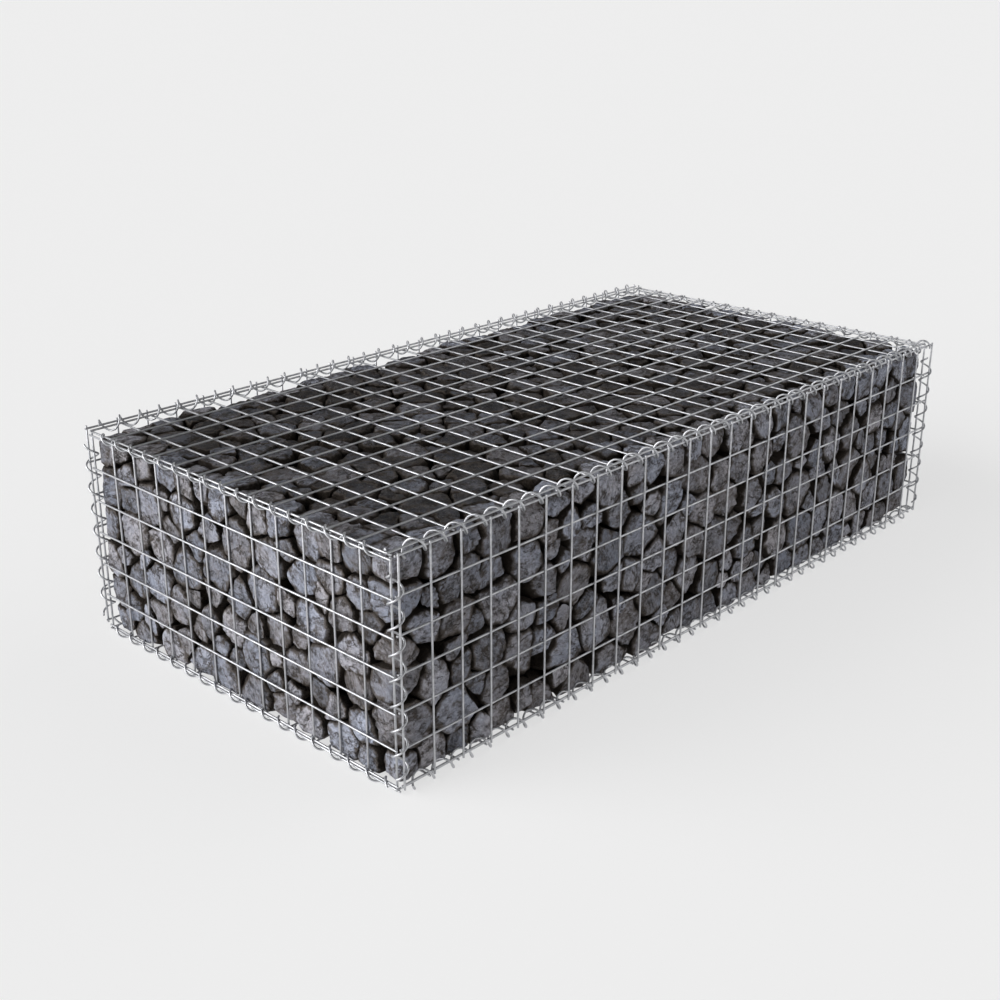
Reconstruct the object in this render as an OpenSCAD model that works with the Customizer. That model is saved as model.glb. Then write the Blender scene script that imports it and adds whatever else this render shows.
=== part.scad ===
// Filled gabion basket: six welded mesh panels laced together along their twelve edges
// with spiral binders, standing on its base and filled with broken stone.
// Millimetres. Length along X, front at -Y, the ground at Z = 0.

/* [Mesh] */
// Length of the long panels between their end wires
mesh_l = 2000; // [1600:80:2400]
// Width of the lid and base between their edge wires
mesh_w = 1000; // [900:10:1200]
// Height of the front and back between their top and bottom wires
mesh_h = 484; // [440:4:600]
// Diameter of the mesh wire
wire_d = 4; // [3:0.5:4.5]
// Openings along the length
cells_l = 25; // [20:1:30]
// Openings across the width
cells_w = 12; // [10:1:14]
// Openings up the height
cells_h = 6; // [5:1:7]
// How far two wires sink into each other at a weld
weld = 0.6; // [0.4:0.1:0.8]

/* [Wire ends] */
// What a wire runs on past the edge wire that it is welded to
over = 6; // [4:0.5:7]
// The same for the upright wires of the front and back, at the foot
over_foot = 8; // [6:1:10]
// The same for the upright wires of the ends, at the foot
over_end_foot = 3; // [2:0.5:4]
// The same for the upright wires of the ends, at the top
over_end_top = 5; // [4:0.5:6]

/* [Spiral binders] */
// Distance between the two edge wires that a long or upright spiral holds
edge_grip = 21.4; // [20:0.2:24]
// The same where the ends meet the lid and base
end_grip = 11.4; // [10.4:0.2:12.4]
// How far the edge wire of the base lies in from the front and back
foot_in = 15.3; // [12:0.1:20]
// Room between the winding and the wires that it holds
seat = 0.3; // [0.2:0.05:0.4]
// Turns for each opening of the mesh
turns_per_cell = 1.5; // [1.5]
// How far a spiral stops short of the one that runs across its end
corner_gap = 6; // [4:1:10]

/* [Levels] */
// Drop from the lid's long wires to the top wire of the ends
end_drop = 12; // [11:0.5:13]
// How much lower the ends are than the front and back
end_short = 4; // [2:0.5:6]
// Drop from the bottom wire of the ends to the long wires of the base
base_drop = 7; // [5.5:0.5:8]

/* [Stone fill] */
// Clear space between the stone and the edge wires of the lid
fill_gap = 10; // [6:1:30]
// Clear space between the stone and the lid
fill_head = 14; // [6:1:30]
// Room left by settling at the far end of the length
fill_short = 47; // [0:1:60]
// Room left by settling at the back
fill_back = 12; // [0:1:40]
// Slope that the settled stone leaves along its top edges
fill_slope = 22; // [5:1:40]
// Heaps along the length
heaps = 5; // [3:1:6]

/* [Hidden] */
wire_sides = 8;
layer = wire_d - weld;
end_h = mesh_h - end_short;
pitch_l = mesh_l / cells_l;
pitch_h = mesh_h / cells_h;

// Spirals: arcs in a turn, how much thinner every other arc is and how many degrees it runs on
arcs = 3;
arc_thin = 0.1;
arc_reach = 1.5;
arc_facets = 48;
wire_facets = 24;
coil_r = edge_grip / 2 + wire_d + seat;
end_coil_r = end_grip / 2 + wire_d + seat;

// The angle at which each spiral passes its first wire, clear of the wires that cross it
top_front_phase = 97;
top_back_phase = top_front_phase + 180;
foot_phase = 48;
top_end_phase = -80;
foot_end_phase = 151;
left_corner_phase = 75;
right_corner_phase = 96;

// Distances from the middle of the basket to the wires of each panel
front_long_y = mesh_w / 2 + edge_grip;
front_up_y = front_long_y + layer;
long_axis_y = front_long_y - edge_grip / 2;
corner_axis_y = front_up_y - edge_grip / 2;
foot_axis_y = front_long_y - foot_in / 2;
base_w = 2 * (front_long_y - foot_in);
end_w = 2 * (front_up_y - edge_grip);
foot_across_w = (base_w + end_w) / 2;
end_up_x = mesh_l / 2;
end_level_x = end_up_x + layer;

// Levels, first down from the top wire of the front, then above the ground
end_bottom = end_drop + end_h;
base_long = end_bottom + base_drop;
base_cross = base_long + layer;
foot_r = norm([foot_in, base_long - mesh_h]) / 2 + wire_d + seat;
foot_axis = (mesh_h + base_long) / 2;
end_axis = layer + end_grip / 2;
end_foot_r = norm([layer, base_cross - end_bottom]) / 2 + wire_d + seat;
end_foot_axis = (end_bottom + base_cross) / 2;
top = max(foot_axis + foot_r, end_foot_axis + end_foot_r) + wire_d / 2;

// Stone
fill_x0 = -mesh_l / 2 + fill_gap;
fill_x1 = mesh_l / 2 - fill_gap - fill_short;
fill_y0 = -mesh_w / 2 + fill_gap;
fill_y1 = mesh_w / 2 - fill_gap - fill_back;
fill_z0 = top - base_long + wire_d / 2;
fill_z1 = top - layer - wire_d / 2 - fill_head;
heap_l = (fill_x1 - fill_x0) / heaps;
heap_w = fill_y1 - fill_y0;
heap_h = (fill_z1 - fill_z0) / 2;

zinc = [0.72, 0.73, 0.75];
rock = [0.36, 0.36, 0.37];

// A straight wire along X, with flats that face the four sides
module wire(from, to) {
    translate([from, 0, 0])
    rotate([0, 90, 0])
    rotate([0, 0, 180 / wire_sides])
    cylinder(d = wire_d / cos(180 / wire_sides), h = to - from, $fn = wire_sides);
}

// A flat welded mesh in the XY plane: wires along X at z = 0, wires along Y one layer below
module mesh(l, w, nl, nw, over_x, over_y0, over_y1) {
    for (j = [0 : nw])
        translate([0, (j / nw - 0.5) * w, 0])
        wire(-l / 2 - over_x, l / 2 + over_x);
    for (i = [0 : nl])
        translate([(i / nl - 0.5) * l, 0, -layer])
        rotate([0, 0, 90])
        wire(-w / 2 - over_y0, w / 2 + over_y1);
}

module lid() {
    color(zinc)
    translate([0, 0, top])
    mesh(mesh_l, mesh_w, cells_l, cells_w, over, over, over);
}

module base() {
    color(zinc)
    translate([0, 0, top - base_long])
    mesh(mesh_l, base_w, cells_l, cells_w, over, over, over);
}

// The mesh stood on its long edge: level wires inside, upright wires outside
module side() {
    color(zinc)
    translate([0, -front_long_y, top - mesh_h / 2])
    rotate([90, 0, 0])
    mirror([0, 0, 1])
    mesh(mesh_l, mesh_h, cells_l, cells_h, over, over_foot, over);
}

module front() {
    side();
}

module back() {
    rotate([0, 0, 180])
    side();
}

// The mesh across an end: level wires outside, upright wires inside
module end() {
    color(zinc)
    translate([-end_level_x, 0, top - end_drop - end_h / 2])
    rotate([90, 0, -90])
    mesh(end_w, end_h, cells_w, cells_h, over, over_end_foot, over_end_top);
}

module end_left() {
    end();
}

module end_right() {
    rotate([0, 0, 180])
    end();
}

// A spiral along Z, wound from arcs that are tangent where they meet. Every other arc is a
// hair thinner and runs into its neighbours, so that the wire is one solid.
// It winds past the angle "phase" at z = 0 and fills the stretch between two levels.
module spiral(from, to, pitch, r, phase) {
    step = pitch / arcs;
    chord = norm([step, 2 * r * sin(180 / arcs)]);
    lean = asin(step / chord);
    half = atan(cos(lean) * tan(180 / arcs));
    arc_r = chord / 2 / sin(half);
    first = ceil(from / step);
    last = floor(to / step) - 1;
    for (k = [first : last]) {
        thin = k % 2 == 0 ? 0 : arc_thin;
        reach = k % 2 == 0 ? 0 : arc_reach;
        rotate([0, 0, phase + (k + 0.5) * 360 / arcs])
        translate([r * cos(180 / arcs) - arc_r * cos(half), 0, (k + 0.5) * step])
        rotate([lean, 0, 0])
        rotate([0, 0, -half - reach])
        rotate_extrude(angle = 2 * (half + reach), $fn = arc_facets)
        translate([arc_r, 0])
        circle(d = wire_d - thin, $fn = wire_facets);
    }
}

// Along the long edges, clear of the end panels
module binder_long(axis_y, z, r, phase) {
    color(zinc)
    translate([-mesh_l / 2, -axis_y, z])
    rotate([90, 0, 90])
    spiral(wire_d, mesh_l - wire_d, pitch_l / turns_per_cell, r, phase);
}

module binder_top_front() {
    binder_long(long_axis_y, top, coil_r, top_front_phase);
}

module binder_top_back() {
    mirror([0, 1, 0])
    binder_long(long_axis_y, top, coil_r, top_back_phase);
}

module binder_foot_front() {
    binder_long(foot_axis_y, top - foot_axis, foot_r, foot_phase);
}

module binder_foot_back() {
    mirror([0, 1, 0])
    binder_foot_front();
}

// Across the ends, over a width, between two long spirals of the given axis and radius
module binder_across(x, z, w, axis_y, long_r, r, phase) {
    start = w / 2 - axis_y + long_r + wire_d + corner_gap;
    color(zinc)
    translate([x, -w / 2, z])
    rotate([0, -90, -90])
    spiral(start, w - start, w / cells_w / turns_per_cell, r, phase);
}

module binder_top_left() {
    binder_across(
        -end_up_x, top - end_axis, mesh_w, long_axis_y, coil_r, end_coil_r, top_end_phase
    );
}

module binder_top_right() {
    rotate([0, 0, 180])
    binder_top_left();
}

module binder_foot_left() {
    binder_across(
        -(end_up_x + end_level_x) / 2, top - end_foot_axis, foot_across_w,
        foot_axis_y, foot_r, end_foot_r, foot_end_phase
    );
}

module binder_foot_right() {
    rotate([0, 0, 180])
    binder_foot_left();
}

// Up the corners, between the spirals of the top and foot
module binder_corner(x, phase) {
    color(zinc)
    translate([x, -corner_axis_y, top - mesh_h])
    spiral(
        mesh_h - foot_axis + foot_r + wire_d + corner_gap,
        mesh_h - coil_r - wire_d - corner_gap,
        pitch_h / turns_per_cell, coil_r, phase
    );
}

module binder_corner_front_left() {
    binder_corner(-mesh_l / 2, left_corner_phase);
}

module binder_corner_front_right() {
    binder_corner(mesh_l / 2, right_corner_phase);
}

module binder_corner_back_left() {
    mirror([0, 1, 0])
    binder_corner_front_left();
}

module binder_corner_back_right() {
    mirror([0, 1, 0])
    binder_corner_front_right();
}

// The stone fill: plain heaps below, and above them heaps that slope along their top edges
module stone_low(i) {
    color(rock)
    translate([fill_x0 + i * heap_l, fill_y0, fill_z0])
    cube([heap_l, heap_w, heap_h]);
}

module stone_top(i) {
    color(rock)
    translate([fill_x0 + i * heap_l, fill_y0, fill_z0 + heap_h])
    rotate([90, 0, 90])
    linear_extrude(heap_l)
    polygon([
        [0, 0], [heap_w, 0], [heap_w, heap_h - fill_slope], [heap_w - fill_slope, heap_h],
        [fill_slope, heap_h], [0, heap_h - fill_slope]
    ]);
}

lid();
base();
front();
back();
end_left();
end_right();
binder_top_front();
binder_top_back();
binder_top_left();
binder_top_right();
binder_foot_front();
binder_foot_back();
binder_foot_left();
binder_foot_right();
binder_corner_front_left();
binder_corner_front_right();
binder_corner_back_left();
binder_corner_back_right();
stone_low(0);  // stone_low_1
stone_low(1);  // stone_low_2
stone_low(2);  // stone_low_3
stone_low(3);  // stone_low_4
stone_low(4);  // stone_low_5
stone_top(0);  // stone_top_1
stone_top(1);  // stone_top_2
stone_top(2);  // stone_top_3
stone_top(3);  // stone_top_4
stone_top(4);  // stone_top_5
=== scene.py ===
"""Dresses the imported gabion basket: welded mesh, spiral binders, broken stone and a studio."""

import math

import bpy
import numpy as np
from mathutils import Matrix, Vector


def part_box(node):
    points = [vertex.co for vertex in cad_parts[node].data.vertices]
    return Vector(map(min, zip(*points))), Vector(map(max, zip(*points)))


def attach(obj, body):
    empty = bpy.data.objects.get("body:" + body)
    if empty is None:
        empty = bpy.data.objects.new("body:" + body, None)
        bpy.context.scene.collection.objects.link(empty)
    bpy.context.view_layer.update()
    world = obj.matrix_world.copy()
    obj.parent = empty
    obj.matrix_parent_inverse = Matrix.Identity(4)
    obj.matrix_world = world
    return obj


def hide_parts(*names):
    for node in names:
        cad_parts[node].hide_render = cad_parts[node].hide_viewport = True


bl_info = {
    "name": "Gabion basket",
    "version": (1, 0, 0),
    "blender": (4, 5, 0),
    "location": "View3D > Sidebar > Gabion",
    "description": "Welded mesh panels, spiral binders and a stone fill on the packed basket",
    "category": "Object",
}

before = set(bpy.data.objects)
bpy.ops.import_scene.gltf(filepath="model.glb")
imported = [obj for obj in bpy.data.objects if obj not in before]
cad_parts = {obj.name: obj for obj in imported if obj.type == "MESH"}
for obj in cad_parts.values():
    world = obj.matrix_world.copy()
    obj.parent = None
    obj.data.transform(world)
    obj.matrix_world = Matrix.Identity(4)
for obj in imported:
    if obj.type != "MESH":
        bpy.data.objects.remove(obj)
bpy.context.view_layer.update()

# Each panel: the axis of its run wires, the axis of its cross wires, whether the run wires lie
# on the high side of the panel, openings along the two axes, and the overhangs of its wires
PANELS = {
    "lid": ("X", "Y", True, "long", "wide", ("edge", "edge"), ("edge", "edge")),
    "base": ("X", "Y", True, "long", "wide", ("edge", "edge"), ("edge", "edge")),
    "front": ("X", "Z", True, "long", "high", ("edge", "edge"), ("foot", "edge")),
    "back": ("X", "Z", False, "long", "high", ("edge", "edge"), ("foot", "edge")),
    "end_left": ("Y", "Z", False, "wide", "high", ("edge", "edge"), ("end_foot", "end_top")),
    "end_right": ("Y", "Z", True, "wide", "high", ("edge", "edge"), ("end_foot", "end_top")),
}

# Each spiral: the axis it runs along, the wires that it laces (panel, its run or cross wires, which
# edge), the panels on whose openings its turns are counted, and the angle that it passes at the start
SPIRALS = {
    "binder_top_front": ("X", (("lid", "run", "low"), ("front", "run", "high")), ("lid",), 97),
    "binder_foot_front": ("X", (("front", "run", "low"), ("base", "run", "low")), ("base",), 48),
    "binder_top_left": ("Y", (("lid", "cross", "low"),), ("lid",), -80),
    "binder_foot_left": (
        "Y", (("end_left", "run", "low"), ("base", "cross", "low")), ("end_left", "base"), 151
    ),
    "binder_corner_front_left": (
        "Z", (("front", "cross", "low"), ("end_left", "cross", "low")), ("front",), 75
    ),
    "binder_corner_front_right": (
        "Z", (("front", "cross", "high"), ("end_right", "cross", "low")), ("front",), 96
    ),
}
# The spirals that are copies: of which one, whether turned half round or flipped to the back,
# and how far their winding is turned on
COPIES = {
    "binder_top_back": ("binder_top_front", "flipped", 180),
    "binder_foot_back": ("binder_foot_front", "flipped", 0),
    "binder_top_right": ("binder_top_left", "turned", 0),
    "binder_foot_right": ("binder_foot_left", "turned", 0),
    "binder_corner_back_left": ("binder_corner_front_left", "flipped", 0),
    "binder_corner_back_right": ("binder_corner_front_right", "flipped", 0),
}
STONE_NODES = [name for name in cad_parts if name.startswith("stone_")]
# How the fill is laid: stones in its corners, along its edges, on its faces, then in its heart. Each
# row: sides of the fill that a stone lies against, smallest and largest share of the size range, tries
BANDS = (
    (3, 0.30, 0.60, 60),
    (2, 0.35, 0.85, 900),
    (2, 0.05, 0.35, 1500),
    (1, 0.70, 1.00, 1200),
    (1, 0.40, 0.70, 5000),
    (1, 0.00, 0.40, 9000),
    (0, 0.60, 1.00, 5000),
    (0, 0.30, 0.60, 9000),
)
# The edges along which the fill is blunted: pairs of its sides, numbered +X, +Y, +Z, -X, -Y, -Z,
# of which DOWN is the side that lies on the base
DOWN = 5
BLUNT_EDGES = ((4, 2), (1, 2), (4, 5), (1, 5), (3, 4), (3, 1))
# How the gaps between stones vary, as shares of the gap's size
GAP_RANGE = (0.5, 1.6)
# Over one, more stones lie against the mesh than behind the others
PRESS = 1.5
# The painted shade on the sides towards other stones: how soon it starts, and its share beside the depth's
SHADE_START, SHADE_SHARE = 0.3, 0.5
# The patterns that break a stone's surface: kind, size, share of the roughness
BREAKS = (("CLOUDS", 0.035, 1.0), ("VORONOI", 0.030, 0.7))
# The value of those patterns at which the surface stays where it is
LEVEL = 0.55
AXES = {"X": 0, "Y": 1, "Z": 2}
# The turns, in degrees, that lay an upright wire or winding along an axis
TILTS = {"X": (0, 90, 0), "Y": (90, 0, 0), "Z": (0, 0, 0)}
WINDS = {"X": (90, 0, 90), "Y": (0, -90, -90), "Z": (0, 0, 0)}
# The steepest edges, in degrees, that are shaded as round
WIRE_SMOOTH, SPIRAL_SMOOTH, STONE_SMOOTH = 50, 60, 38
# A spiral starts and ends at a whole third of a turn
THIRDS = 3


class WireSettings(bpy.types.PropertyGroup):
    """Sizes of the mesh wire and its welds."""

    thickness: bpy.props.FloatProperty(
        name="Thickness", description="Diameter of the drawn wire with its zinc", default=0.0047,
        unit="LENGTH"
    )
    sides: bpy.props.IntProperty(name="Sides", description="Facets round a wire", default=12)
    core: bpy.props.FloatProperty(
        name="Core", description="Diameter of the wire in the packed part", default=0.004, unit="LENGTH"
    )
    cut: bpy.props.FloatProperty(
        name="Cut edge", description="Rounding of a cut wire end", default=0.0005, unit="LENGTH"
    )
    weld: bpy.props.FloatProperty(
        name="Weld", description="Radius of the squeezed metal at a weld", default=0.0031, unit="LENGTH"
    )
    squeeze: bpy.props.FloatProperty(
        name="Squeeze", description="Thickness of a weld across the panel, as a share", default=0.75
    )
    long: bpy.props.IntProperty(name="Openings long", description="Openings along the length", default=25)
    wide: bpy.props.IntProperty(name="Openings wide", description="Openings across the width", default=12)
    high: bpy.props.IntProperty(name="Openings high", description="Openings up the height", default=6)
    edge: bpy.props.FloatProperty(
        name="Overhang", description="Wire past the last weld", default=0.006, unit="LENGTH"
    )
    foot: bpy.props.FloatProperty(
        name="Foot overhang", description="Upright wire below the bottom wire", default=0.008, unit="LENGTH"
    )
    end_foot: bpy.props.FloatProperty(
        name="End foot overhang", description="The same on the two ends", default=0.003, unit="LENGTH"
    )
    end_top: bpy.props.FloatProperty(
        name="End top overhang", description="Upright wire of the ends past the top", default=0.005,
        unit="LENGTH"
    )
    zinc: bpy.props.FloatVectorProperty(
        name="Zinc", description="Colour of clean zinc", default=(0.49, 0.495, 0.515), subtype="COLOR"
    )
    dull: bpy.props.FloatVectorProperty(
        name="Dull zinc", description="Colour of weathered zinc", default=(0.34, 0.345, 0.36), subtype="COLOR"
    )
    burnt: bpy.props.FloatVectorProperty(
        name="Burnt metal", description="Colour of a burnt weld", default=(0.30, 0.29, 0.28), subtype="COLOR"
    )


class SpiralSettings(bpy.types.PropertyGroup):
    """Sizes of the spiral binders."""

    sides: bpy.props.IntProperty(name="Sides", description="Facets round the wire", default=10)
    steps: bpy.props.IntProperty(name="Steps", description="Steps in a turn", default=24)
    turns: bpy.props.FloatProperty(name="Turns", description="Turns to an opening of the mesh", default=1.5)
    seat: bpy.props.FloatProperty(
        name="Seat", description="Play between a spiral and the wires it laces", default=0.0003, unit="LENGTH"
    )
    end_grip: bpy.props.FloatProperty(
        name="End grip", description="How far below the lid the spirals across the ends reach",
        default=0.0114, unit="LENGTH"
    )


class StoneSettings(bpy.types.PropertyGroup):
    """Sizes and colours of the broken stone."""

    seed: bpy.props.IntProperty(name="Seed", description="Another fill of the same kind", default=11)
    largest: bpy.props.FloatProperty(
        name="Largest", description="Radius of the largest stones", default=0.060, unit="LENGTH"
    )
    smallest: bpy.props.FloatProperty(
        name="Smallest", description="Radius of the smallest stones", default=0.022, unit="LENGTH"
    )
    spread: bpy.props.FloatProperty(
        name="Spread", description="Least distance of two stones, as a share of their sizes", default=0.80
    )
    gap: bpy.props.FloatProperty(
        name="Gap", description="Room between neighbouring stones", default=0.002, unit="LENGTH"
    )
    proud: bpy.props.FloatProperty(
        name="Proud", description="How far a stone is pressed against the mesh", default=0.012, unit="LENGTH"
    )
    setback: bpy.props.FloatProperty(
        name="Setback", description="How far a stone may sit behind the others", default=0.006, unit="LENGTH"
    )
    bulge: bpy.props.FloatProperty(
        name="Bulge", description="How far the mesh lets a stone stand out", default=0.005, unit="LENGTH"
    )
    reach_low: bpy.props.FloatVectorProperty(
        name="Reach left, front", description="How far the stones reach past their heaps there",
        default=(0.002, 0.010, 0.0), subtype="TRANSLATION"
    )
    reach_high: bpy.props.FloatVectorProperty(
        name="Reach right, back, up", description="How far the stones reach past their heaps there",
        default=(0.032, 0.026, 0.005), subtype="TRANSLATION"
    )
    slope: bpy.props.FloatProperty(
        name="Slope", description="Slope along the edges of the fill", default=0.016, unit="LENGTH"
    )
    # Painted shade: how sharply the sides that face other stones are painted darker, where shade falls
    # between the stones.
    painted_shade: bpy.props.FloatProperty(
        name="Stain", description="How sharply the sides towards other stones darken", default=3.0
    )
    # Painted shade: how much darker the stones below the lid are painted, standing in for the weaker light on
    # the top of the fill; they are no more weathered than the rest.
    painted_top_shade: bpy.props.FloatProperty(
        name="Top shade", description="How much darker the weathered stones below the lid are", default=1.0
    )
    rough: bpy.props.FloatProperty(
        name="Roughness", description="Height of the broken surface", default=0.009, unit="LENGTH"
    )
    shown_depth: bpy.props.FloatProperty(
        name="Shown depth", description="How deep the stones lie that show", default=0.085, unit="LENGTH"
    )
    # Painted shade: the depth into the fill at which the stone is painted all dark.
    shade_depth: bpy.props.FloatProperty(
        name="Stain depth", description="Depth at which the stone is all dark", default=0.06, unit="LENGTH"
    )
    neighbours: bpy.props.FloatProperty(
        name="Neighbours", description="How near the stones are that shape a stone", default=0.2,
        unit="LENGTH"
    )
    core: bpy.props.FloatProperty(
        name="Core", description="Least depth of a face below a stone's middle", default=0.010, unit="LENGTH"
    )
    tilt: bpy.props.FloatProperty(
        name="Tilt", description="How much the faces behind the mesh lean", default=0.07
    )
    chips: bpy.props.IntProperty(name="Chips", description="Broken faces of a stone", default=10)
    chip_depth: bpy.props.FloatVectorProperty(
        name="Chip depth", description="Range of a broken face's depth, as a share of the stone's size",
        default=(0.96, 1.45), size=2
    )
    sharpness: bpy.props.FloatVectorProperty(
        name="Sharpness", description="Range of how sharp a stone's edges are", default=(16, 40), size=2
    )
    bedding: bpy.props.FloatVectorProperty(
        name="Bedding", description="Range of how deep a stone's middle lies, as a share of its size",
        default=(0.50, 0.78), size=2
    )
    margin: bpy.props.FloatProperty(
        name="Margin", description="Least depth of a stone's middle, as a share of its size", default=0.6
    )
    cool: bpy.props.FloatVectorProperty(
        name="Cool stone", description="Blue-grey stone", default=(0.330, 0.356, 0.436), subtype="COLOR"
    )
    warm: bpy.props.FloatVectorProperty(
        name="Warm stone", description="Brown-grey stone", default=(0.386, 0.371, 0.396), subtype="COLOR"
    )
    pale: bpy.props.FloatVectorProperty(
        name="Pale grain", description="Fresh broken grain", default=(0.50, 0.50, 0.51), subtype="COLOR"
    )
    # Brown dirt and painted shade: the colour that darkens the stone towards the crevices and deeper in the
    # fill.
    dirt_and_shade: bpy.props.FloatVectorProperty(
        name="Stained stone", description="Brown stain near the crevices",
        default=(0.090, 0.075, 0.064), subtype="COLOR"
    )
    # Near black: the dark seams of the stone, and the painted shade deep in the crevices between the stones.
    seam_and_crevice_shade: bpy.props.FloatVectorProperty(
        name="Crevice", description="Stain between the stones", default=(0.020, 0.015, 0.011), subtype="COLOR"
    )


class StageSettings(bpy.types.PropertyGroup):
    """The studio round the basket."""

    floor_size: bpy.props.FloatProperty(
        name="Floor radius", description="Half width of the pale floor", default=400, unit="LENGTH"
    )
    floor: bpy.props.FloatVectorProperty(
        name="Floor", description="Colour of the floor", default=(0.27, 0.27, 0.27), subtype="COLOR"
    )
    floor_glow: bpy.props.FloatProperty(name="Floor glow", description="Light of its own", default=0.643)
    sky: bpy.props.FloatVectorProperty(
        name="Sky", description="Brightness of the soft light at the horizon and overhead",
        default=(0.86, 0.05), size=2
    )
    sky_fall: bpy.props.FloatVectorProperty(
        name="Sky fall", description="Heights between which the soft light falls off",
        default=(0.02, 0.62), size=2
    )
    key: bpy.props.FloatProperty(name="Key", description="Strength of the key light", default=5.0)
    key_spread: bpy.props.FloatProperty(
        name="Key spread", description="How wide the key light is", default=math.radians(80), subtype="ANGLE"
    )
    key_from: bpy.props.FloatVectorProperty(
        name="Key from", description="Where the key light comes from", default=(-0.92, 0.38, 0.11),
        subtype="DIRECTION"
    )
    fill: bpy.props.FloatProperty(
        name="Fill", description="Strength of the soft light from the right", default=1.0
    )
    fill_spread: bpy.props.FloatProperty(
        name="Fill spread", description="How wide the soft light is", default=math.radians(70),
        subtype="ANGLE"
    )
    fill_from: bpy.props.FloatVectorProperty(
        name="Fill from", description="Where the soft light comes from", default=(0.72, -0.35, 0.45),
        subtype="DIRECTION"
    )
    rim: bpy.props.FloatProperty(
        name="Rim", description="Strength of the light that glints on the wire", default=1.0
    )
    rim_spread: bpy.props.FloatProperty(
        name="Rim spread", description="How wide the glinting light is", default=math.radians(50),
        subtype="ANGLE"
    )
    rim_from: bpy.props.FloatVectorProperty(
        name="Rim from", description="Where the glinting light comes from", default=(-0.66, 0.64, 0.40),
        subtype="DIRECTION"
    )
    eye: bpy.props.FloatVectorProperty(
        name="Camera place", description="Where the camera stands", default=(-2.5285, -2.2327, 1.5166),
        subtype="TRANSLATION"
    )
    gaze: bpy.props.FloatVectorProperty(
        name="Camera gaze", description="Where the camera looks", default=(0.6740, 0.6416, -0.3662),
        subtype="DIRECTION"
    )
    lens: bpy.props.FloatProperty(name="Lens", description="Focal length in millimetres", default=50)
    sensor: bpy.props.FloatProperty(name="Sensor", description="Width of the film in millimetres", default=36)


class Value:
    """A socket that adds Math nodes when it stands in an expression."""

    def __init__(self, finish, socket):
        self.finish = finish
        self.socket = socket

    def math(self, operation, first, second):
        return self.finish.node("ShaderNodeMath", {"operation": operation}, {0: first, 1: second})

    def __add__(self, other):
        return self.math("ADD", self, other)

    def __sub__(self, other):
        return self.math("SUBTRACT", self, other)

    def __rsub__(self, other):
        return self.math("SUBTRACT", other, self)

    def __mul__(self, other):
        return self.math("MULTIPLY", self, other)

    __radd__ = __add__
    __rmul__ = __mul__


class Finish:
    """A material, or the studio's light, whose nodes are added one call at a time."""

    def __init__(self, block, shader="Principled BSDF"):
        self.block = block
        self.block.use_nodes = True
        self.tree = self.block.node_tree
        self.shader = self.tree.nodes[shader]

    def node(self, kind, settings=None, inputs=None, output=0):
        made = self.tree.nodes.new(kind)
        for name, value in (settings or {}).items():
            setattr(made, name, value)
        for name, value in (inputs or {}).items():
            self.feed(made.inputs[name], value)
        return Value(self, made.outputs[output])

    def feed(self, socket, value):
        if isinstance(value, Value):
            self.tree.links.new(value.socket, socket)
        else:
            socket.default_value = value

    def place(self):
        return self.node("ShaderNodeTexCoord", output="Object")

    def noise(self, place, scale, detail=4, rough=0.6):
        inputs = {"Vector": place, "Scale": scale, "Detail": detail, "Roughness": rough}
        return self.node("ShaderNodeTexNoise", {"normalize": True}, inputs)

    def ramp(self, value, low, high):
        settings = {"interpolation_type": "SMOOTHSTEP"}
        return self.node("ShaderNodeMapRange", settings, {"Value": value, "From Min": low, "From Max": high})

    def distance(self, first, second):
        return self.node("ShaderNodeMath", {"operation": "ABSOLUTE"}, {0: first - second})

    def blend(self, mask, first, second, kind="MIX"):
        settings = {"data_type": "RGBA", "blend_type": kind}
        return self.node("ShaderNodeMix", settings, {0: mask, 6: first, 7: second}, output=2)

    def attribute(self, name):
        return self.node("ShaderNodeAttribute", {"attribute_name": name}, output="Fac")

    def bump(self, height, strength, distance):
        inputs = {"Height": height, "Strength": strength, "Distance": distance}
        return self.node("ShaderNodeBump", None, inputs)

    def surface(self, **inputs):
        for name, value in inputs.items():
            self.feed(self.shader.inputs[name.replace("_", " ")], value)
        return self.block


def new_finish(name):
    return Finish(bpy.data.materials.new(name))


def colour(values):
    return (*values, 1.0)


def zinc_finish(wire):
    """Galvanised wire: pale zinc with dull patches, fine drawn lines and small runs."""
    finish = new_finish("galvanised_zinc")
    place = finish.place()
    patches = finish.ramp(finish.noise(place, 55, 5, 0.65), 0.36, 0.66)
    grain = finish.noise(place, 900, 2, 0.5)
    tone = finish.blend(patches, colour(wire.zinc), colour(wire.dull))
    tone = finish.blend(grain * 0.35, tone, colour([part * 1.3 for part in wire.zinc]))
    rough = patches * 0.16 + grain * 0.12 + 0.30
    runs = finish.noise(place, 160, 3, 0.5) + grain * 0.3
    normal = finish.bump(runs, 0.25, 0.0006)
    return finish.surface(Base_Color=tone, Metallic=0.92, Roughness=rough, Normal=normal)


def weld_finish(wire):
    """The squeezed metal of a weld: burnt and duller than the wire."""
    finish = new_finish("burnt_weld")
    place = finish.place()
    burnt = finish.ramp(finish.noise(place, 300, 4, 0.6), 0.4, 0.7)
    tone = finish.blend(burnt, colour(wire.dull), colour(wire.burnt))
    normal = finish.bump(finish.noise(place, 700, 3), 0.4, 0.0008)
    return finish.surface(Base_Color=tone, Metallic=0.85, Roughness=burnt * 0.15 + 0.42, Normal=normal)


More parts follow.
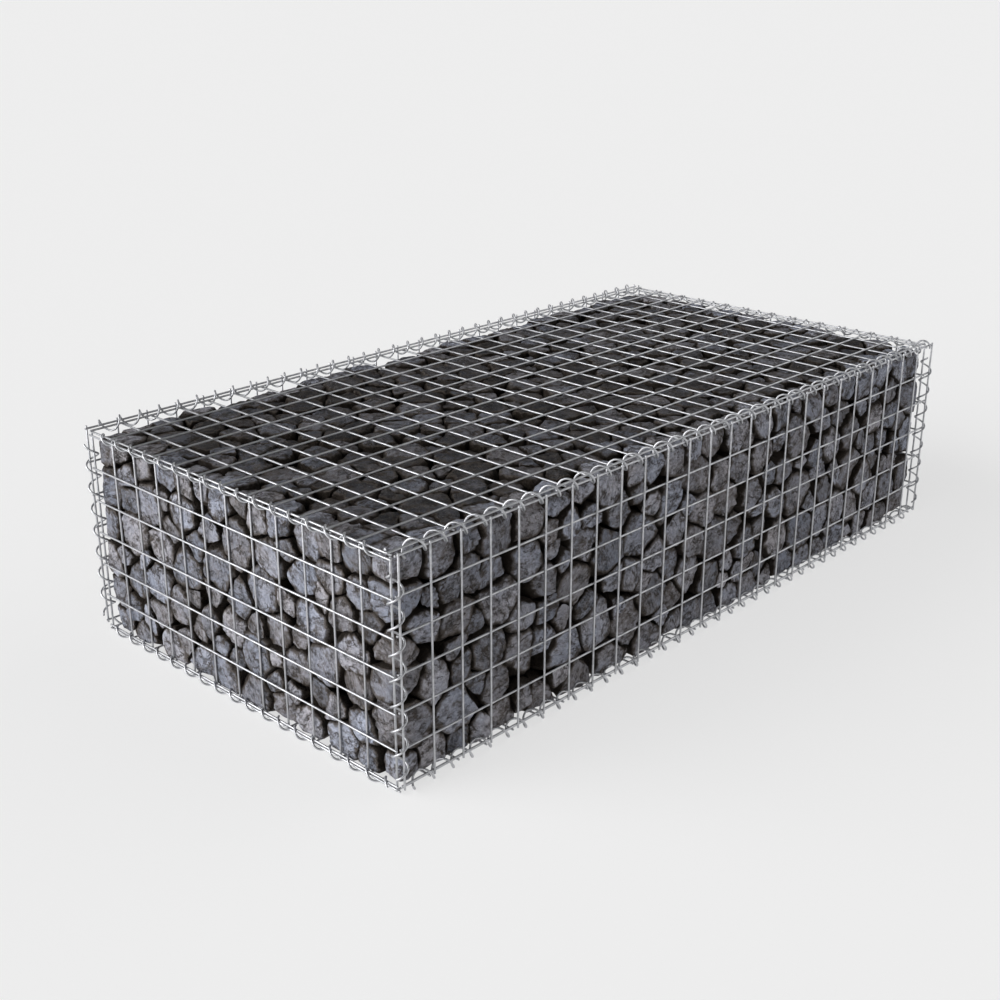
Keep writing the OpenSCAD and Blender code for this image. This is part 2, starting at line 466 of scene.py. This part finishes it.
def stone_finish(stone):
    """Broken stone: cool and warm greys, dark streaks, cracks and pale grain; brown dirt and painted shade in
    the crevices, and painted shade on the top.
    """
    finish = new_finish("broken_stone")
    own, warmth = finish.attribute("tone"), finish.attribute("warmth")
    turn = finish.node("ShaderNodeCombineXYZ", None, {"X": own * 6.0, "Y": warmth * 6.0, "Z": own * 3.0})
    place = finish.node("ShaderNodeVectorMath", {"operation": "ADD"}, {0: finish.place(), 1: turn})
    grain = finish.node(
        "ShaderNodeVectorRotate", {"rotation_type": "EULER_XYZ"}, {"Vector": place, "Rotation": turn}
    )
    along = finish.node("ShaderNodeMapping", None, {"Vector": grain, "Scale": (1.0, 1.0, 0.5)})
    clouds = finish.noise(place, 13, 3, 0.6)
    mottle = finish.noise(place, 48, 6, 0.7)
    strokes = finish.noise(along, 130, 5, 0.8)
    layers = finish.noise(along, 20, 5, 0.62)
    grit = finish.noise(place, 300, 3, 0.7)
    seams = 1.0 - finish.ramp(finish.distance(layers, 0.5), 0.004, 0.030)
    seams = seams * finish.ramp(mottle, 0.40, 0.56)
    warmer = finish.ramp(clouds + warmth * 0.45, 0.40, 1.05)
    tone = finish.blend(warmer, colour(stone.cool), colour(stone.warm))
    weather = finish.ramp(finish.noise(place, 26, 5, 0.68), 0.44, 0.64)
    # The tone attribute is each stone's random tone, lowered by the painted top shade for the stones below
    # the lid.
    light = (own * 0.50 + 0.54) * (finish.ramp(mottle, 0.30, 0.68) * 0.60 + 0.78)
    light = light * (1.0 - weather * 0.44)
    light = light * (1.25 - finish.ramp(strokes, 0.40, 0.60) * (weather * 0.75 + 0.30))
    shade = finish.node("ShaderNodeCombineColor", None, {0: light, 1: light, 2: light})
    tone = finish.blend(1.0, tone, shade, "MULTIPLY")
    tone = finish.blend(finish.ramp(grit, 0.56, 0.74) * 0.4, tone, colour(stone.pale))
    tone = finish.blend(seams * 0.85, tone, colour(stone.seam_and_crevice_shade))
    # Painted shade: darker deeper in the fill and on the sides towards other stones, broken up by the mottle
    # and the strokes; first a brown tint of dirt and shade, then near black.
    shade_mask = finish.attribute("depth") + (mottle - 0.5) * 0.9 + (strokes - 0.5) * 0.5
    tone = finish.blend(finish.ramp(shade_mask, -0.12, 0.26) * 0.88, tone, colour(stone.dirt_and_shade))
    deep = finish.ramp(shade_mask, 0.18, 0.56)
    tone = finish.blend(deep * 0.96, tone, colour(stone.seam_and_crevice_shade))
    height = mottle * 1.2 + grit * 0.3 - strokes * 0.5 - seams * 0.5
    normal = finish.bump(height, 0.9, 0.010)
    finish.surface(Specular_IOR_Level=0.12)
    return finish.surface(Base_Color=tone, Roughness=grit * 0.2 + 0.72, Normal=normal)


def floor_finish(stage):
    """Pale studio floor with a barely visible cloudiness."""
    finish = new_finish("pale_floor")
    clouds = finish.noise(finish.place(), 0.6, 3)
    tone = finish.blend(clouds, colour(stage.floor), colour([part * 0.985 for part in stage.floor]))
    finish.surface(Emission_Color=(1.0, 1.0, 1.0, 1.0), Emission_Strength=stage.floor_glow)
    return finish.surface(Base_Color=tone, Roughness=1.0, Specular_IOR_Level=0.0)


def shared(name, make, settings):
    """The material of that name, made the first time that it is asked for."""
    return bpy.data.materials.get(name) or make(settings)


def alone(piece):
    """Leaves only this piece selected and active."""
    bpy.ops.object.select_all(action="DESELECT")
    piece.select_set(True)
    bpy.context.view_layer.objects.active = piece
    return piece


def added():
    return bpy.context.view_layer.objects.active


def settle(piece):
    """Puts a piece's place, turn and scale into its mesh."""
    alone(piece)
    bpy.ops.object.transform_apply(location=True, rotation=True, scale=True)
    return piece


def row(piece, step, count):
    """Repeats a piece along a line."""
    alone(piece)
    array = piece.modifiers.new("row", "ARRAY")
    array.use_relative_offset = False
    array.use_constant_offset = True
    array.constant_offset_displace = step
    array.count = count
    bpy.ops.object.modifier_apply(modifier=array.name)
    return piece


def joined(pieces):
    """Several pieces as one, in the first one's object."""
    bpy.ops.object.select_all(action="DESELECT")
    for piece in pieces:
        piece.select_set(True)
    bpy.context.view_layer.objects.active = pieces[0]
    bpy.ops.object.join()
    return pieces[0]


def hand_over(piece, node):
    """Names a finished piece and puts it in the place of its CAD node."""
    alone(piece)
    piece.name = node + "_dressed"
    piece.data.name = piece.name
    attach(piece, "root")
    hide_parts(node)


def straight_wire(wire, axis, middle, length):
    """One straight wire with its cut ends rounded."""
    bpy.ops.object.select_all(action="DESELECT")
    bpy.ops.mesh.primitive_cylinder_add(vertices=wire.sides, radius=wire.thickness / 2, depth=length)
    piece = added()
    bpy.ops.object.mode_set(mode="EDIT")
    bpy.ops.mesh.select_mode(type="FACE")
    bpy.ops.mesh.select_all(action="DESELECT")
    bpy.ops.object.mode_set(mode="OBJECT")
    for face in piece.data.polygons:
        face.select = abs(face.normal.z) > 0.9
    bpy.ops.object.mode_set(mode="EDIT")
    bpy.ops.mesh.bevel(offset=wire.cut, segments=2, affect="EDGES")
    bpy.ops.object.mode_set(mode="OBJECT")
    piece.rotation_euler = [math.radians(turn) for turn in TILTS[axis]]
    piece.location = middle
    piece.data.materials.append(shared("galvanised_zinc", zinc_finish, wire))
    return settle(piece)


def weld_drop(wire, flat, middle):
    """The metal squeezed out of one weld, flatter across the panel."""
    bpy.ops.object.select_all(action="DESELECT")
    bpy.ops.mesh.primitive_uv_sphere_add(segments=8, ring_count=5, radius=wire.weld)
    piece = added()
    squeeze = [1.0, 1.0, 1.0]
    squeeze[flat] = wire.squeeze
    piece.scale = squeeze
    piece.location = middle
    piece.data.materials.append(shared("burnt_weld", weld_finish, wire))
    return settle(piece)


class PanelLayout:
    """Where the wires of one panel lie, from the box of its CAD node."""

    def __init__(self, wire, node):
        run, cross, run_high, run_cells, cross_cells, run_ends, cross_ends = PANELS[node]
        self.low, self.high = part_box(node)
        self.along, self.over = AXES[run], AXES[cross]
        self.flat = 3 - self.along - self.over
        half = wire.core / 2
        levels = (self.high[self.flat] - half, self.low[self.flat] + half)
        self.levels = dict(zip(("run", "cross"), levels if run_high else levels[::-1]))
        self.first, self.last, self.cells = {}, {}, {}
        for axis, cells, ends in ((self.along, run_cells, run_ends), (self.over, cross_cells, cross_ends)):
            self.first[axis] = self.low[axis] + getattr(wire, ends[0])
            self.last[axis] = self.high[axis] - getattr(wire, ends[1])
            self.cells[axis] = getattr(wire, cells)

    def step(self, axis):
        """The way from one wire to the next along that axis."""
        step = Vector((0, 0, 0))
        step[axis] = (self.last[axis] - self.first[axis]) / self.cells[axis]
        return step

    def edge_wire(self, kind, edge):
        """The middle of the first or last of the run or cross wires."""
        place = (self.low + self.high) / 2
        across = self.over if kind == "run" else self.along
        place[across] = self.first[across] if edge == "low" else self.last[across]
        place[self.flat] = self.levels[kind]
        return place


class GABION_OT_mesh_panels(bpy.types.Operator):
    """Welds the six mesh panels from rows of straight wires"""

    bl_idname = "gabion.mesh_panels"
    bl_label = "Mesh panels"

    def execute(self, context):
        wire = context.scene.gabion_wire
        for node in PANELS:
            self.panel(wire, node, PanelLayout(wire, node))
        return {"FINISHED"}

    def panel(self, wire, node, layout):
        along, over = layout.along, layout.over
        pieces = []
        for kind, axis, other in (("run", along, over), ("cross", over, along)):
            length = layout.high[axis] - layout.low[axis]
            piece = straight_wire(wire, "XYZ"[axis], layout.edge_wire(kind, "low"), length)
            pieces.append(row(piece, layout.step(other), layout.cells[other] + 1))
        weld = layout.edge_wire("run", "low")
        weld[along] = layout.first[along]
        weld[layout.flat] = sum(layout.levels.values()) / 2
        drop = row(weld_drop(wire, layout.flat, weld), layout.step(along), layout.cells[along] + 1)
        pieces.append(row(drop, layout.step(over), layout.cells[over] + 1))
        panel = joined(pieces)
        bpy.ops.object.shade_smooth_by_angle(angle=math.radians(WIRE_SMOOTH))
        hand_over(panel, node)


class GABION_OT_spiral_binders(bpy.types.Operator):
    """Winds the twelve spirals that lace the panels together"""

    bl_idname = "gabion.spiral_binders"
    bl_label = "Spiral binders"

    def execute(self, context):
        wire = context.scene.gabion_wire
        spiral = context.scene.gabion_spiral
        for node in SPIRALS:
            self.wind(wire, spiral, node, node, "as drawn", 0)
        for node, (model, place, further) in COPIES.items():
            self.wind(wire, spiral, node, model, place, further)
        return {"FINISHED"}

    def course(self, wire, spiral, model):
        """Where a spiral's axis starts, its radius, the length of a turn, its first and last third."""
        axis, laced, counted, _ = SPIRALS[model]
        run = AXES[axis]
        places = [PanelLayout(wire, panel).edge_wire(kind, edge) for panel, kind, edge in laced]
        if len(places) == 1:
            places.append(places[0] - Vector((0, 0, spiral.end_grip)))
        apart = places[0] - places[1]
        apart[run] = 0
        radius = apart.length / 2 + wire.core + spiral.seat
        layouts = [PanelLayout(wire, panel) for panel in counted]
        origin = (places[0] + places[1]) / 2
        origin[run] = sum(layout.first[run] for layout in layouts) / len(layouts)
        pitch = sum(layout.step(run)[run] for layout in layouts) / len(layouts) / spiral.turns
        low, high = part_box(model)
        ends = (low[run] + wire.core / 2, high[run] - wire.core / 2)
        first, last = [round((end - origin[run]) / pitch * THIRDS) for end in ends]
        return origin, radius, pitch, first, last

    def wind(self, wire, spiral, node, model, place, further):
        origin, radius, pitch, first, last = self.course(wire, spiral, model)
        axis, phase = SPIRALS[model][0], SPIRALS[model][-1]
        radius -= (wire.thickness - wire.core) / 2
        turns = (last - first) / THIRDS
        lean = math.atan2(pitch, 2 * math.pi * radius)
        bpy.ops.object.select_all(action="DESELECT")
        bpy.ops.mesh.primitive_circle_add(vertices=spiral.sides, radius=wire.thickness / 2)
        piece = added()
        piece.rotation_euler = (math.pi / 2, 0, 0)
        piece.scale = (1, 1 / math.cos(lean), 1)
        piece.location = (radius, 0, first * pitch / THIRDS)
        settle(piece)
        piece.rotation_euler = (0, 0, math.radians(phase + further + first * 360 / THIRDS))
        settle(piece)
        winding = piece.modifiers.new("winding", "SCREW")
        winding.axis = "Z"
        winding.angle = 2 * math.pi * turns
        winding.screw_offset = pitch * turns
        winding.steps = winding.render_steps = round(spiral.steps * turns)
        bpy.ops.object.modifier_apply(modifier=winding.name)
        piece.rotation_euler = [math.radians(turn) for turn in WINDS[axis]]
        piece.location = origin
        settle(piece)
        if place == "turned":
            piece.rotation_euler = (0, 0, math.pi)
        if place == "flipped":
            piece.scale = (1, -1, 1)
        settle(piece)
        bpy.ops.object.mode_set(mode="EDIT")
        bpy.ops.mesh.select_all(action="SELECT")
        bpy.ops.mesh.fill_holes(sides=0)
        bpy.ops.mesh.select_all(action="SELECT")
        bpy.ops.mesh.normals_make_consistent(inside=False)
        bpy.ops.object.mode_set(mode="OBJECT")
        piece.data.materials.append(shared("galvanised_zinc", zinc_finish, wire))
        bpy.ops.object.shade_smooth_by_angle(angle=math.radians(SPIRAL_SMOOTH))
        hand_over(piece, node)


def ball(cuts):
    """Points and faces of a round ball with even triangles."""
    bpy.ops.object.select_all(action="DESELECT")
    bpy.ops.mesh.primitive_ico_sphere_add(subdivisions=1, radius=1)
    piece = added()
    bpy.ops.object.mode_set(mode="EDIT")
    bpy.ops.mesh.select_all(action="SELECT")
    bpy.ops.mesh.subdivide(number_cuts=cuts)
    bpy.ops.object.mode_set(mode="OBJECT")
    points = np.array([point.co for point in piece.data.vertices])
    points /= np.linalg.norm(points, axis=1)[:, None]
    faces = np.array([face.vertices[:] for face in piece.data.polygons])
    bpy.ops.object.delete()
    return points, faces


def scatter(stone, low, high, chance):
    """Middles and sizes of the stones: corners and edges first, then the faces, then the heart."""
    places = np.zeros((0, 3))
    sizes = np.zeros(0)
    length = (high - low) / (high - low).sum()
    area = 1 / length / (1 / length).sum()
    for sides, smaller, larger, tries in BANDS:
        shares = chance.uniform(smaller, larger, tries)
        for size in stone.smallest + (stone.largest - stone.smallest) * shares:
            place = chance.uniform(low + size * stone.margin, high - size * stone.margin)
            pinned = [chance.choice(3, p=area)] if sides == 1 else []
            if sides >= 2:
                free = chance.choice(3, p=length) if sides == 2 else None
                pinned = [axis for axis in range(3) if axis != free]
            for axis in pinned:
                depth = size * chance.uniform(*stone.bedding)
                place[axis] = low[axis] + depth if chance.uniform() < 0.5 else high[axis] - depth
            if len(places):
                room = np.linalg.norm(places - place, axis=1) - stone.spread * (sizes + size)
                if room.min() < 0:
                    continue
            places = np.vstack([places, place])
            sizes = np.append(sizes, size)
    return places, sizes


class GABION_OT_stone_fill(bpy.types.Operator):
    """Breaks the stone and packs it stone by stone into the basket"""

    bl_idname = "gabion.stone_fill"
    bl_label = "Stone fill"

    def execute(self, context):
        stone = context.scene.gabion_stone
        chance = np.random.default_rng(stone.seed)
        boxes = {node: [np.array(corner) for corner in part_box(node)] for node in STONE_NODES}
        low = np.min([box[0] for box in boxes.values()], axis=0) - stone.reach_low
        high = np.max([box[1] for box in boxes.values()], axis=0) + stone.reach_high
        places, sizes = scatter(stone, low, high, chance)
        fine, coarse = ball(5), ball(1)
        heaps = {node: [] for node in STONE_NODES}
        for index, place in enumerate(places):
            skin = np.minimum(place - low, high - place)
            shown = min(skin[0], skin[1], high[2] - place[2]) < stone.shown_depth
            shape = fine if shown else coarse
            made = self.break_stone(stone, index, places, sizes, low, high, chance, shape)
            heaps[self.heap_of(place, boxes)].append(made)
        for node, stones in heaps.items():
            self.heap(stone, node, stones, low, high)
        return {"FINISHED"}

    def heap_of(self, place, boxes):
        """The heap that a stone lies in, or the nearest one."""
        return min(boxes, key=lambda node: np.linalg.norm(place - np.clip(place, *boxes[node])))

    def break_stone(self, stone, index, places, sizes, low, high, chance, shape):
        """One stone: the room it has between its neighbours, with flat broken faces and blunt edges."""
        place, size = places[index], sizes[index]
        away = places - place
        far = np.linalg.norm(away, axis=1)
        near = (far < stone.neighbours) & (far > 0)
        reach = (far[near] ** 2 + size**2 - sizes[near] ** 2) / (2 * far[near])
        normals = [away[near] / far[near][:, None]]
        depths = [reach - stone.gap / 2 * chance.uniform(*GAP_RANGE, reach.shape)]
        sides = len(reach)
        slant = math.sqrt(0.5)
        flats = np.vstack([np.eye(3), -np.eye(3)])
        room = np.concatenate([high - place, place - low])
        edges = [(room[one] + room[other] - stone.slope) * slant for one, other in BLUNT_EDGES]
        walls = np.vstack([flats, [(flats[one] + flats[other]) * slant for one, other in BLUNT_EDGES]])
        sink = stone.proud - (stone.proud + stone.setback) * chance.uniform(0, 1, len(walls)) ** PRESS
        tilt = chance.normal(0, stone.tilt, walls.shape)
        sink[DOWN] = tilt[DOWN] = 0
        normals.append(walls + tilt)
        depths.append(np.concatenate([room, edges]) + sink)
        chips = chance.normal(0, 1, (stone.chips, 3))
        normals.append(chips)
        depths.append(size * chance.uniform(*stone.chip_depth, len(chips)))
        normals = np.vstack(normals)
        normals /= np.linalg.norm(normals, axis=1)[:, None]
        depths = np.maximum(np.concatenate(depths), stone.core)
        points, faces = shape
        turn = np.linalg.qr(chance.normal(0, 1, (3, 3)))[0]
        turn *= np.sign(np.linalg.det(turn))
        points = points @ turn
        blunt = chance.uniform(*stone.sharpness)
        pressed = np.maximum(points @ normals.T / depths, 0)
        radius = (pressed**blunt).sum(axis=1) ** (-1 / blunt)
        # Painted shade mask: how much a point faces the neighbouring stones rather than the mesh, so that
        # those sides are painted darker.
        hidden = pressed[:, :sides].max(axis=1) - pressed[:, sides : sides + len(walls)].max(axis=1)
        hidden = (hidden * stone.painted_shade + SHADE_START).clip(0, 1)
        # Painted shade: the stones that lie against the lid get a lower tone, so the top of the fill is
        # painted darker than its sides.
        below_lid = room[2] < size < min(room[0], room[1], room[3], room[4])
        tone = chance.uniform(0, 1) - (stone.painted_top_shade if below_lid else 0)
        return place + points * radius[:, None], faces, hidden, tone, chance.uniform(0, 1)

    def heap(self, stone, node, stones, low, high):
        """All the stones of one heap as a single mesh, with their tones, roughened."""
        points = np.vstack([made[0] for made in stones])
        counts = [len(made[0]) for made in stones]
        starts = np.cumsum([0] + counts[:-1])
        faces = np.vstack([made[1] + start for made, start in zip(stones, starts)])
        mesh = bpy.data.meshes.new(node)
        mesh.from_pydata(points.tolist(), [], faces.tolist())
        # Painted shade mask: the depth into the fill, with the sides towards other stones added, darkens the
        # stone where shade falls.
        depth = np.minimum(points - low, high - points)
        depth = np.minimum(depth[:, :2].min(axis=1), depth[:, 2]).clip(0) / stone.shade_depth
        values = {
            "depth": (depth + np.concatenate([made[2] for made in stones]) * SHADE_SHARE).clip(0, 1),
            "tone": np.repeat([made[3] for made in stones], counts),
            "warmth": np.repeat([made[4] for made in stones], counts),
        }
        for name, value in values.items():
            mesh.attributes.new(name, "FLOAT", "POINT").data.foreach_set("value", value.astype(np.float32))
        piece = bpy.data.objects.new(node, mesh)
        bpy.context.scene.collection.objects.link(piece)
        alone(piece)
        for kind, size, share in BREAKS:
            self.roughen(piece, kind, size, stone.rough * share)
        self.hold_back(stone, mesh, low, high)
        bpy.ops.object.shade_smooth_by_angle(angle=math.radians(STONE_SMOOTH))
        mesh.materials.append(shared("broken_stone", stone_finish, stone))
        hand_over(piece, node)

    def hold_back(self, stone, mesh, low, high):
        """Keeps every point behind the mesh and above the base."""
        points = np.zeros(3 * len(mesh.vertices), np.float32)
        mesh.vertices.foreach_get("co", points)
        kept = np.clip(points.reshape(-1, 3), low - [stone.bulge, stone.bulge, 0], high + stone.bulge)
        mesh.vertices.foreach_set("co", kept.ravel())
        mesh.update()

    def roughen(self, piece, kind, size, height):
        """Pushes the surface in and out by a pattern of that size."""
        pattern = bpy.data.textures.get(kind) or bpy.data.textures.new(kind, kind)
        pattern.noise_scale = size
        broken = piece.modifiers.new("broken", "DISPLACE")
        broken.texture = pattern
        broken.texture_coords = "LOCAL"
        broken.strength = height
        broken.mid_level = LEVEL
        bpy.ops.object.modifier_apply(modifier=broken.name)


class GABION_OT_stage(bpy.types.Operator):
    """Sets the pale floor, the soft light and the camera"""

    bl_idname = "gabion.stage"
    bl_label = "Stage"

    def execute(self, context):
        stage = context.scene.gabion_stage
        bpy.ops.object.select_all(action="DESELECT")
        bpy.ops.mesh.primitive_plane_add(size=2 * stage.floor_size)
        floor = added()
        floor.name = "studio_floor"
        settle(floor)
        floor.data.materials.append(floor_finish(stage))
        self.light(context, stage)
        self.camera(context, stage)
        return {"FINISHED"}

    def light(self, context, stage):
        soft = Finish(bpy.data.worlds.new("studio_light"), "Background")
        way = soft.node("ShaderNodeTexCoord", output="Generated")
        height = soft.node("ShaderNodeSeparateXYZ", None, {0: way}, output="Z")
        fall = soft.ramp(height, *stage.sky_fall) * (stage.sky[1] - stage.sky[0]) + stage.sky[0]
        context.scene.world = soft.surface(Color=(1.0, 1.0, 1.0, 1.0), Strength=fall)
        lamps = {
            "key_light": (stage.key, stage.key_spread, stage.key_from),
            "fill_light": (stage.fill, stage.fill_spread, stage.fill_from),
            "rim_light": (stage.rim, stage.rim_spread, stage.rim_from),
        }
        for name, (strength, spread, way) in lamps.items():
            bpy.ops.object.light_add(type="SUN")
            lamp = added()
            lamp.name = name
            lamp.data.energy = strength
            lamp.data.angle = spread
            lamp.rotation_euler = Vector(way).to_track_quat("Z", "Y").to_euler()
        context.scene.view_settings.view_transform = "Standard"

    def camera(self, context, stage):
        bpy.ops.object.camera_add(location=stage.eye)
        camera = added()
        camera.name = "photo_view"
        camera.rotation_euler = Vector(stage.gaze).to_track_quat("-Z", "Y").to_euler()
        camera.data.lens = stage.lens
        camera.data.sensor_width = stage.sensor
        camera.data.clip_end = 3 * stage.floor_size
        context.scene.camera = camera


OPERATORS = (GABION_OT_stage, GABION_OT_mesh_panels, GABION_OT_spiral_binders, GABION_OT_stone_fill)
SETTINGS = {
    "gabion_wire": WireSettings,
    "gabion_spiral": SpiralSettings,
    "gabion_stone": StoneSettings,
    "gabion_stage": StageSettings,
}


class GABION_PT_basket(bpy.types.Panel):
    """Lists the pieces of the basket"""

    bl_idname = "GABION_PT_basket"
    bl_label = "Gabion basket"
    bl_space_type = "VIEW_3D"
    bl_region_type = "UI"
    bl_category = "Gabion"

    def draw(self, context):
        for operator in OPERATORS:
            self.layout.operator(operator.bl_idname)
        for name, group in SETTINGS.items():
            box = self.layout.box()
            for prop in group.__annotations__:
                box.prop(getattr(context.scene, name), prop)


def register():
    for group in (*SETTINGS.values(), *OPERATORS, GABION_PT_basket):
        bpy.utils.register_class(group)
    for name, group in SETTINGS.items():
        setattr(bpy.types.Scene, name, bpy.props.PointerProperty(type=group))


def unregister():
    for name in SETTINGS:
        delattr(bpy.types.Scene, name)
    for group in (GABION_PT_basket, *reversed(OPERATORS), *SETTINGS.values()):
        bpy.utils.unregister_class(group)


def main():
    register()
    bpy.ops.gabion.stage()
    bpy.ops.gabion.mesh_panels()
    bpy.ops.gabion.spiral_binders()
    bpy.ops.gabion.stone_fill()


if __name__ == "__main__":
    main()
